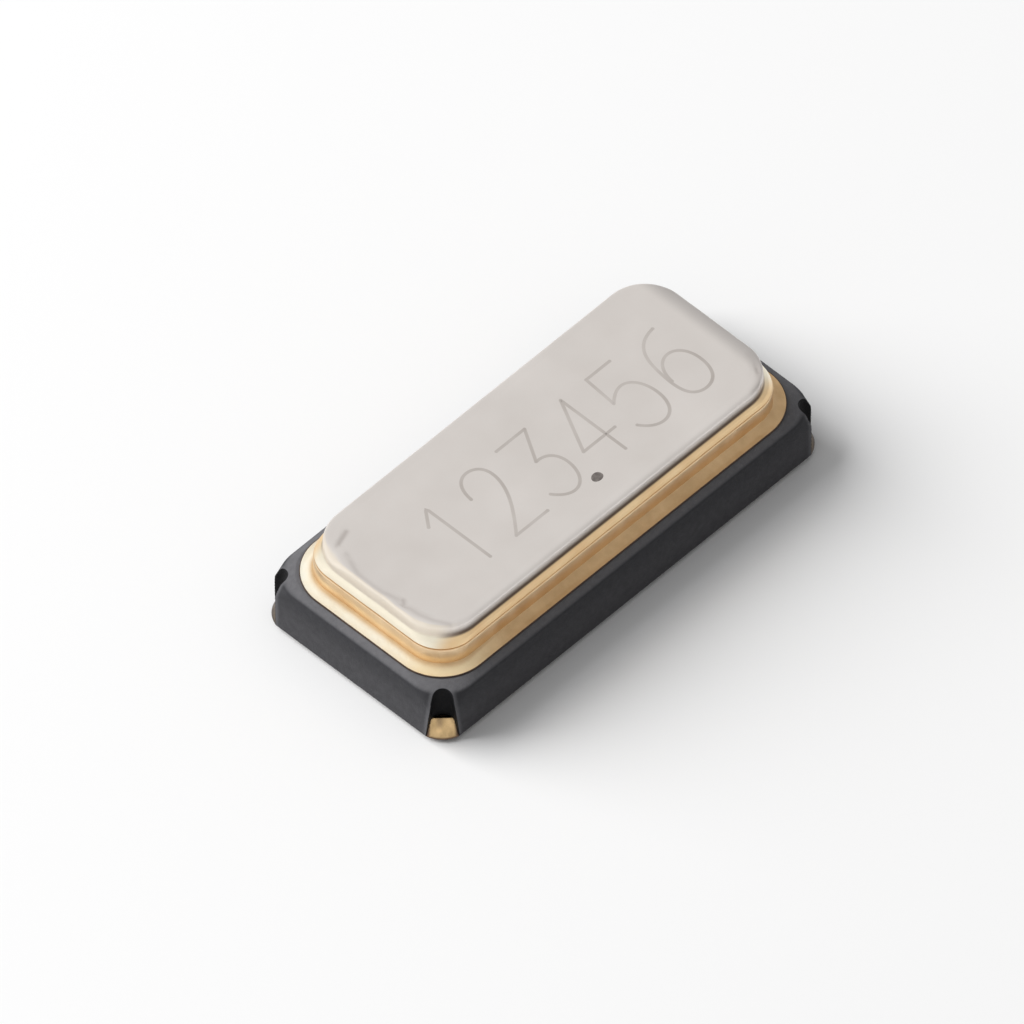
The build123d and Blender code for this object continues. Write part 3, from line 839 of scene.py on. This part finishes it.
def make_ceramic():
    """The box from its outlines, with the grooves pressed in, then its ledge, relief and vacuum hole."""
    shoulder = ceramic_bottom + side_height
    rim_inset = side_draft + rim_slope_width
    floor = ceramic_bottom + base_thickness
    corners = [
        (0.3, ceramic_bottom, 0),
        (0, ceramic_bottom, ceramic_edge_radius),
        (side_draft, shoulder, 0.03),
        (rim_inset, rim_level, ceramic_edge_radius),
        (wall_thickness, rim_level, 0.004),
        (wall_thickness, floor, 0),
    ]
    fine = []
    points = rounded_path(corners, 8)
    for here, after in zip(points, points[1:]):
        fine.append(here)
        run = after - here
        outer = here.x < 0.12 and after.x < 0.12
        parts = max(1, round(run.length / edge_spacing)) if outer else 1
        fine.extend(here.lerp(after, k / parts) for k in range(1, parts))
    fine.append(points[-1])

    def corner_radius(inset, level):
        if inset > rim_inset + 0.02 and level > shoulder:
            share = (inset - rim_inset) / (wall_thickness - rim_inset)
            return lerp(rim_corner_radius, cavity_corner_radius, share)
        if level > shoulder:
            share = (level - shoulder) / (rim_level - shoulder)
            return lerp(shoulder_corner_radius, rim_corner_radius, share)
        if inset >= wall_thickness:
            return cavity_corner_radius
        share = max(0, level - shoulder + corner_blend_height) / corner_blend_height
        return lerp(side_corner_radius, shoulder_corner_radius, share)

    outlines = [
        (body_half_x - inset, body_half_y - inset, corner_radius(inset, level), level)
        for inset, level in fine
    ]
    bm = bmesh.new()
    stack(bm, outlines, steps=48, cuts=(24, 10))
    for reach in lip_cuts:
        for side in (-1, 1):
            slice_across(bm, (side * (body_half_x - reach), 0, 0), (1, 0, 0))
            slice_across(bm, (0, side * (body_half_y - reach), 0), (0, 1, 0))
    for vert in bm.verts:
        if vert.co.z < rim_level + 1e-4:
            cut_groove(vert)

    cavity_x = body_half_x - wall_thickness
    cavity_y = body_half_y - wall_thickness
    ledge = block(
        (-cavity_x - cutter_overlap, -cavity_y - cutter_overlap, floor - cutter_overlap),
        (ledge_front_x, cavity_y + cutter_overlap, floor + ledge_rise),
    )
    relief_end = cavity_x - relief_margin
    relief_y = cavity_y - relief_margin
    relief = block(
        (relief_end - relief_length, -relief_y, floor - relief_depth),
        (relief_end, relief_y, floor + relief_depth),
    )
    upright = [edge for edge in relief.edges if abs(edge.verts[0].co.z - edge.verts[1].co.z) > relief_depth]
    bmesh.ops.bevel(
        relief, geom=upright, offset=cavity_corner_radius, affect="EDGES", segments=8, profile=0.5,
        material=-1,
    )
    below = ceramic_bottom - cutter_overlap
    mouth = cylinder(vacuum_mouth_radius, below, ceramic_bottom + vacuum_mouth_depth)
    throat = cylinder(vacuum_throat_radius, below, floor + cutter_overlap)
    hollows = [(cutter, "DIFFERENCE") for cutter in (relief, mouth, throat)]
    cut = boolean(bm, [(ledge, "UNION")] + hollows)
    return finish_piece(cut, "ceramic_package", ceramic, ["ceramic_body"])


# Terminals


def heel_inset(thickness):
    """Inset of the outline that the heel's face follows where the heel is this thick on the diagonal."""
    return (groove_depth - thickness - (DIAGONAL - 1) * heel_corner_radius) / DIAGONAL


def heel_front(across, level, heel_top):
    """How far in along the diagonal the heel's outer face lies: a flared toe, and a leaning face above."""
    toe, top = heel_inset(heel_toe_thickness), heel_inset(heel_top_thickness)
    share = (level - ceramic_bottom) / heel_toe_height
    if share < 1:
        inset, radius = lerp(0, toe, share), lerp(heel_foot_radius, heel_corner_radius, share)
    else:
        share = (level - ceramic_bottom - heel_toe_height) / (heel_top - ceramic_bottom - heel_toe_height)
        inset, radius = lerp(toe, top, share), heel_corner_radius
    return (inset + radius) * DIAGONAL - sqrt(max(radius * radius - across * across, 1e-6))


def heel_half_width(level, heel_top):
    """Distance across the corner from its diagonal to where the heel's face meets the groove's wall."""
    radius, centre = groove_section(level)
    low, high = 0.0, radius
    for _ in range(30):
        middle = (low + high) / 2
        if heel_front(middle, level, heel_top) < centre + sqrt(radius * radius - middle * middle):
            low = middle
        else:
            high = middle
    return low


def add_heel(bm, side_x, side_y, heel_top):
    """A plug of metal in the foot of one groove, with a domed top."""
    start = heel_top - heel_round
    rows = [(lerp(ceramic_bottom, start, k / 12), 0.0) for k in range(13)]
    turns = [pi / 2 * k / 8 for k in range(1, 8)]
    rows += [(start + heel_round * sin(turn), heel_round * (1 - cos(turn))) for turn in turns]
    angle = bm.verts.layers.float.new("angle")
    circle = bmesh.ops.create_circle(bm, cap_ends=False, segments=96, radius=1)["verts"]
    for vert in circle:
        vert[angle] = atan2(vert.co.y, vert.co.x)
    loop, verts = bm.edges[:], circle
    for step, (level, shrink) in enumerate(rows):
        if step:
            loop, verts = extrude_loop(bm, loop)
        radius, centre = groove_section(level)
        half_width = heel_half_width(level, heel_top) - shrink
        for vert in verts:
            across = half_width * sin(vert[angle])
            if cos(vert[angle]) < 0:
                inward = centre + sqrt((radius - shrink) ** 2 - across * across)
            else:
                inward = heel_front(across, level, heel_top) + shrink
            vert.co.x = side_x * (body_half_x - (inward + across) / DIAGONAL)
            vert.co.y = side_y * (body_half_y - (inward - across) / DIAGONAL)
            vert.co.z = level
        if step == 0:
            first = loop
    bmesh.ops.contextual_create(bm, geom=first)
    bmesh.ops.contextual_create(bm, geom=loop)
    bm.verts.layers.float.remove(angle)


def make_terminal(node, name, side):
    """The flat pad under one end and the heels in its two grooves, as closed shells of one mesh."""
    heel_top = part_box(node)[1].z / MM
    half_length = terminal_length / 2
    half_width = body_half_y - terminal_inset
    pad = [(0.1, 0.0, 0), (0, 0.0, plate_edge_radius), (0, ceramic_bottom, 0.002), (0.1, ceramic_bottom, 0)]
    points = rounded_path(pad, 4)
    bm = bmesh.new()
    stack(bm, inset_outlines(half_length, half_width, terminal_corner_radius, points), steps=12, cuts=(6, 8))
    shift = side * (body_half_x - terminal_inset - half_length)
    bmesh.ops.translate(bm, verts=bm.verts, vec=(shift, 0, 0))
    for side_y in (-1, 1):
        heel = bmesh.new()
        add_heel(heel, side, side_y, heel_top)
        shell = new_mesh(heel, "heel")
        bm.from_mesh(shell)
        bpy.data.meshes.remove(shell)
    return finish_piece(bm, name, heel_gold, [node])


# Vacuum hole


def spun(name, node, material, corners, steps):
    """A piece turned about the vacuum hole's axis from corners (radius, level, corner radius)."""
    bm = bmesh.new()
    points = rounded_path(corners, steps)
    verts = [bm.verts.new((point.x, 0, point.y)) for point in points]
    edges = [bm.edges.new(pair) for pair in zip(verts, verts[1:])]
    bmesh.ops.spin(
        bm, geom=verts + edges, cent=(0, 0, 0), axis=(0, 0, 1), angle=2 * pi, steps=96, use_merge=True
    )
    bmesh.ops.translate(bm, verts=bm.verts, vec=(vacuum_hole_x, 0, 0))
    return finish_piece(bm, name, material, [node])


def make_hole_metals():
    """The metal lining of the hole's mouth, and the solder plug that closes it."""
    mouth_top = ceramic_bottom + vacuum_mouth_depth
    lined_radius = vacuum_mouth_radius - vacuum_lining
    lined_top = mouth_top - vacuum_lining
    spun(
        "vacuum_hole_plating", "vacuum_hole_lining", inner_gold,
        [
            (lined_radius, ceramic_bottom + 0.02, 0),
            (lined_radius, ceramic_bottom, 0.003),
            (vacuum_mouth_radius, ceramic_bottom, 0.003),
            (vacuum_mouth_radius, mouth_top, 0.001),
            (vacuum_throat_radius, mouth_top, 0.001),
            (vacuum_throat_radius, lined_top, 0.001),
            (lined_radius, lined_top, 0.004),
            (lined_radius, ceramic_bottom + 0.02, 0),
        ],
        3,
    )
    recess = ceramic_bottom + 0.006
    spun(
        "vacuum_seal_plug", "vacuum_plug", plug_solder,
        [
            (0, recess + 0.008, 0),
            (0.06, recess + 0.007, 0.15),
            (lined_radius, recess, 0.0),
            (lined_radius, lined_top, 0.001),
            (vacuum_throat_radius, lined_top, 0.001),
            (vacuum_throat_radius, ceramic_bottom + base_thickness - 0.02, 0.004),
            (0.05, ceramic_bottom + base_thickness - 0.002, 0.06),
            (0, ceramic_bottom + base_thickness, 0),
        ],
        5,
    )


# Marks on the lid: plain counting digits and the index dot

digit_height = 0.52
digit_width = 0.26
digit_pitch = 0.36
digits_x = 0.124
digits_y = -0.052
stroke_radius = 0.0125
stroke_end_size = 1.04
mark_rise = 0.0003
dot_x, dot_y = 0.093, -0.342
dot_length, dot_width = 0.080, 0.064

# Strokes of each digit in a box one wide and one high
digit_strokes = {
    1: [[(0.2, 0.78), (0.55, 1.0), (0.55, 0.0)]],
    2: [[(0.05, 0.72), (0.1, 1.04), (0.95, 1.08), (0.95, 0.6), (0.45, 0.25), (0.0, 0.0)],
        [(0.0, 0.0), (1.0, 0.0)]],
    3: [[(0.05, 1.0), (0.95, 1.0)], [(0.95, 1.0), (0.45, 0.58)],
        [(0.45, 0.58), (1.0, 0.6), (1.05, -0.02), (0.3, -0.08), (0.0, 0.14)]],
    4: [[(0.72, 0.0), (0.72, 1.0)], [(0.72, 1.0), (0.0, 0.3)], [(0.0, 0.3), (1.0, 0.3)]],
    5: [[(0.9, 1.0), (0.15, 1.0)], [(0.15, 1.0), (0.08, 0.54)],
        [(0.08, 0.54), (0.5, 0.74), (1.08, 0.6), (1.0, -0.08), (0.25, -0.06), (0.0, 0.14)]],
    6: [[(0.85, 0.98), (0.2, 0.95), (0.0, 0.45), (0.0, -0.06), (0.95, -0.06), (1.05, 0.5), (0.5, 0.68),
         (0.1, 0.5), (0.06, 0.3)]],
}


def make_digits():
    """The digits 1 to 6 in single strokes along the lid, as shallow beads on its top."""
    curve = bpy.data.curves.new("digits", "CURVE")
    curve.dimensions = "3D"
    curve.bevel_depth = stroke_radius
    curve.bevel_resolution = 3
    curve.use_fill_caps = True
    curve.resolution_u = 10
    ends = set()
    for digit, strokes in digit_strokes.items():
        start_x = digits_x + (digit - 3.5) * digit_pitch - digit_width / 2
        start_y = digits_y - digit_height / 2
        for stroke in strokes:
            spline = curve.splines.new("NURBS")
            spline.points.add(len(stroke) - 1)
            for point, (x, y) in zip(spline.points, stroke):
                point.co = (start_x + x * digit_width, start_y + y * digit_height, 0, 1)
            ends.update(tuple(spline.points[at].co[:2]) for at in (0, -1))
            spline.order_u = min(4, len(stroke)) if len(stroke) > 3 else 2
            spline.use_endpoint_u = True
    drawn = new_object("digits", curve)
    bpy.context.view_layer.update()
    bm = bmesh.new()
    bm.from_mesh(bpy.data.meshes.new_from_object(drawn.evaluated_get(bpy.context.evaluated_depsgraph_get())))
    bpy.data.objects.remove(drawn)
    for x, y in ends:
        place = Matrix.Translation((x, y, 0))
        bmesh.ops.create_uvsphere(
            bm, u_segments=16, v_segments=8, radius=stroke_radius * stroke_end_size, matrix=place
        )
    bmesh.ops.scale(bm, verts=bm.verts, vec=(1, 1, mark_rise / stroke_radius))
    bmesh.ops.translate(bm, verts=bm.verts, vec=(0, 0, lid_top))
    return finish_piece(bm, "lid_digits", make_mark_metal(), smooth_angle=60)


def make_mark_metal():
    """Nickel dulled by a light laser pass: it fades out to the sides of a stroke, and unevenly along it."""
    material, tree, shader = new_material("dulled_nickel", metallic=1.0)
    dulled = mottled_color(tree, 4, (0.60, 0.55, 0.51), (0.72, 0.67, 0.63), detail=2)
    middle = ramp_between(tree, object_axis(tree, "Z"), lid_top, lid_top + 0.85 * mark_rise)
    color = mix_colors(tree, middle, nickel_light, dulled)
    dress(tree, shader, color, mottle(tree, 9, 0.42, 0.55), mottle(tree, 60, detail=3), 0.2)
    return material


def make_dot():
    """The small dark index dot beside the digits."""
    bm = bmesh.new()
    place = Matrix.Translation((dot_x, dot_y, lid_top))
    size = Matrix.Diagonal((dot_length / 2, dot_width / 2, mark_rise, 1))
    bmesh.ops.create_uvsphere(bm, u_segments=32, v_segments=12, radius=1, matrix=place @ size)
    for vert in bm.verts:
        wave = noise.noise(Vector((vert.co.x * 30, vert.co.y * 30, 0.4)))
        vert.co.x += 0.004 * wave
    dark = plain_finish("index_dot", (0.30, 0.27, 0.25), (0.16, 0.14, 0.13), 0.6, (0.5, 0.65), 30, 0.3)
    return finish_piece(bm, "lid_index_dot", dark, smooth_angle=60)


make_lid()
make_ring()
make_braze()
make_film()
make_ceramic()
make_terminal("terminal_1", "solder_terminal_1", -1)
make_terminal("terminal_2", "solder_terminal_2", 1)
make_hole_metals()
make_digits()
make_dot()

# Finishes of the pieces inside the package
inner_finishes = {
    make_quartz(): ["tuning_fork"],
    adhesive: ["adhesive_dot_1", "adhesive_dot_2"],
    fired_metal: ["conductor_1", "conductor_2"],
    inner_gold: [
        "mounting_pad_1", "mounting_pad_2", "electrode_film_1", "electrode_film_2",
        "tuning_weight_1", "tuning_weight_2",
    ],
}
for material, nodes in inner_finishes.items():
    for node in nodes:
        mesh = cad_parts[node].data
        mesh.materials.clear()
        mesh.materials.append(material)

# Floor, in metres: clear when it is seen from below
floor_half = 0.15
floor_level = -0.00001


def make_floor():
    bm = bmesh.new()
    bmesh.ops.create_grid(bm, x_segments=1, y_segments=1, size=floor_half)
    bmesh.ops.translate(bm, verts=bm.verts, vec=(0, 0, floor_level))
    floor = new_object("floor", new_mesh(bm, "floor"))
    material, tree, shader = new_material("pale_floor")
    shader.inputs["Base Color"].default_value = (0.92, 0.92, 0.92, 1)
    shader.inputs["Roughness"].default_value = 0.9
    shader.inputs["Specular IOR Level"].default_value = 0.1
    seen_from_below = add_node(tree, "ShaderNodeNewGeometry")
    clear = add_node(tree, "ShaderNodeBsdfTransparent")
    mix = add_node(tree, "ShaderNodeMixShader")
    tree.links.new(seen_from_below.outputs["Backfacing"], mix.inputs["Fac"])
    tree.links.new(shader.outputs[0], mix.inputs[1])
    tree.links.new(clear.outputs[0], mix.inputs[2])
    tree.links.new(mix.outputs[0], tree.nodes["Material Output"].inputs["Surface"])
    floor.data.materials.append(material)


make_floor()

# Light: a pale studio, bright at the left and behind the package and darker in front on its right.
# Metal shows the studio, a softer fill from it lights the rest beside the key lamp, and the camera sees
# a plain backdrop.
bright_way = Vector((-0.85, 0.52, 0.0)).normalized()
studio_level = 0.79
studio_swing = 0.34
fill_level = 0.36
backdrop_level = 0.95
key_way = Vector((-0.42, 0.70, 0.58)).normalized()
key_distance = 0.12
key_size = 0.10
key_radiance = 6.6


def make_world():
    world = bpy.data.worlds.new("studio")
    world.use_nodes = True
    bpy.context.scene.world = world
    tree = world.node_tree
    background = tree.nodes["Background"]
    place = add_node(tree, "ShaderNodeTexCoord")
    toward = add_node(tree, "ShaderNodeVectorMath", operation="DOT_PRODUCT")
    tree.links.new(place.outputs["Generated"], toward.inputs[0])
    toward.inputs[1].default_value = bright_way
    swing = product(tree, math_node(tree, "POWER", toward.outputs["Value"], 3), studio_swing)
    shown = math_node(tree, "ADD", swing, studio_level)
    light_path = add_node(tree, "ShaderNodeLightPath")
    rays = light_path.outputs
    mirrored = math_node(tree, "MAXIMUM", rays["Is Glossy Ray"], rays["Is Transmission Ray"])
    extra = product(tree, mirrored, math_node(tree, "SUBTRACT", shown, fill_level))
    backdrop = product(tree, rays["Is Camera Ray"], backdrop_level - fill_level)
    strength = math_node(tree, "ADD", math_node(tree, "ADD", extra, backdrop), fill_level)
    tree.links.new(strength, background.inputs["Strength"])
    background.inputs["Color"].default_value = (1, 1, 1, 1)


def make_key_lamp():
    """A square lamp that metal doesn't mirror: radiance 1 is as bright as white."""
    lamp = bpy.data.lights.new("key_lamp", "AREA")
    lamp.shape = "SQUARE"
    lamp.size = key_size
    lamp.energy = key_radiance * pi * key_size * key_size
    placed = new_object("key_lamp", lamp)
    placed.location = key_way * key_distance
    placed.rotation_euler = (-key_way).to_track_quat("-Z", "Y").to_euler()
    placed.visible_glossy = False


make_world()
make_key_lamp()

# Camera: a parallel view at the photograph's angle
camera_azimuth = -46.07
camera_elevation = 50.26
pixels_per_mm = 173.45
image_side = 1024
body_pixel = (543.1, 527.9)


def make_camera():
    turn, tilt = radians(camera_azimuth), radians(camera_elevation)
    back = Vector((sin(turn) * cos(tilt), -cos(turn) * cos(tilt), sin(tilt)))
    right = Vector((cos(turn), sin(turn), 0))
    up = back.cross(right)
    camera = new_object("camera", bpy.data.cameras.new("camera"))
    camera.data.type = "ORTHO"
    camera.data.ortho_scale = image_side / pixels_per_mm * MM
    camera.data.clip_start = 0.001
    camera.data.clip_end = 1
    shift_right = (image_side / 2 - body_pixel[0]) / pixels_per_mm * MM
    shift_up = (body_pixel[1] - image_side / 2) / pixels_per_mm * MM
    aim = Vector((0, 0, ceramic_bottom * MM)) + right * shift_right + up * shift_up
    camera.location = aim + back * 0.05
    camera.rotation_mode = "QUATERNION"
    camera.rotation_quaternion = (-back).to_track_quat("-Z", "Y")
    bpy.context.scene.camera = camera


make_camera()
bpy.context.scene.view_settings.view_transform = "Standard"
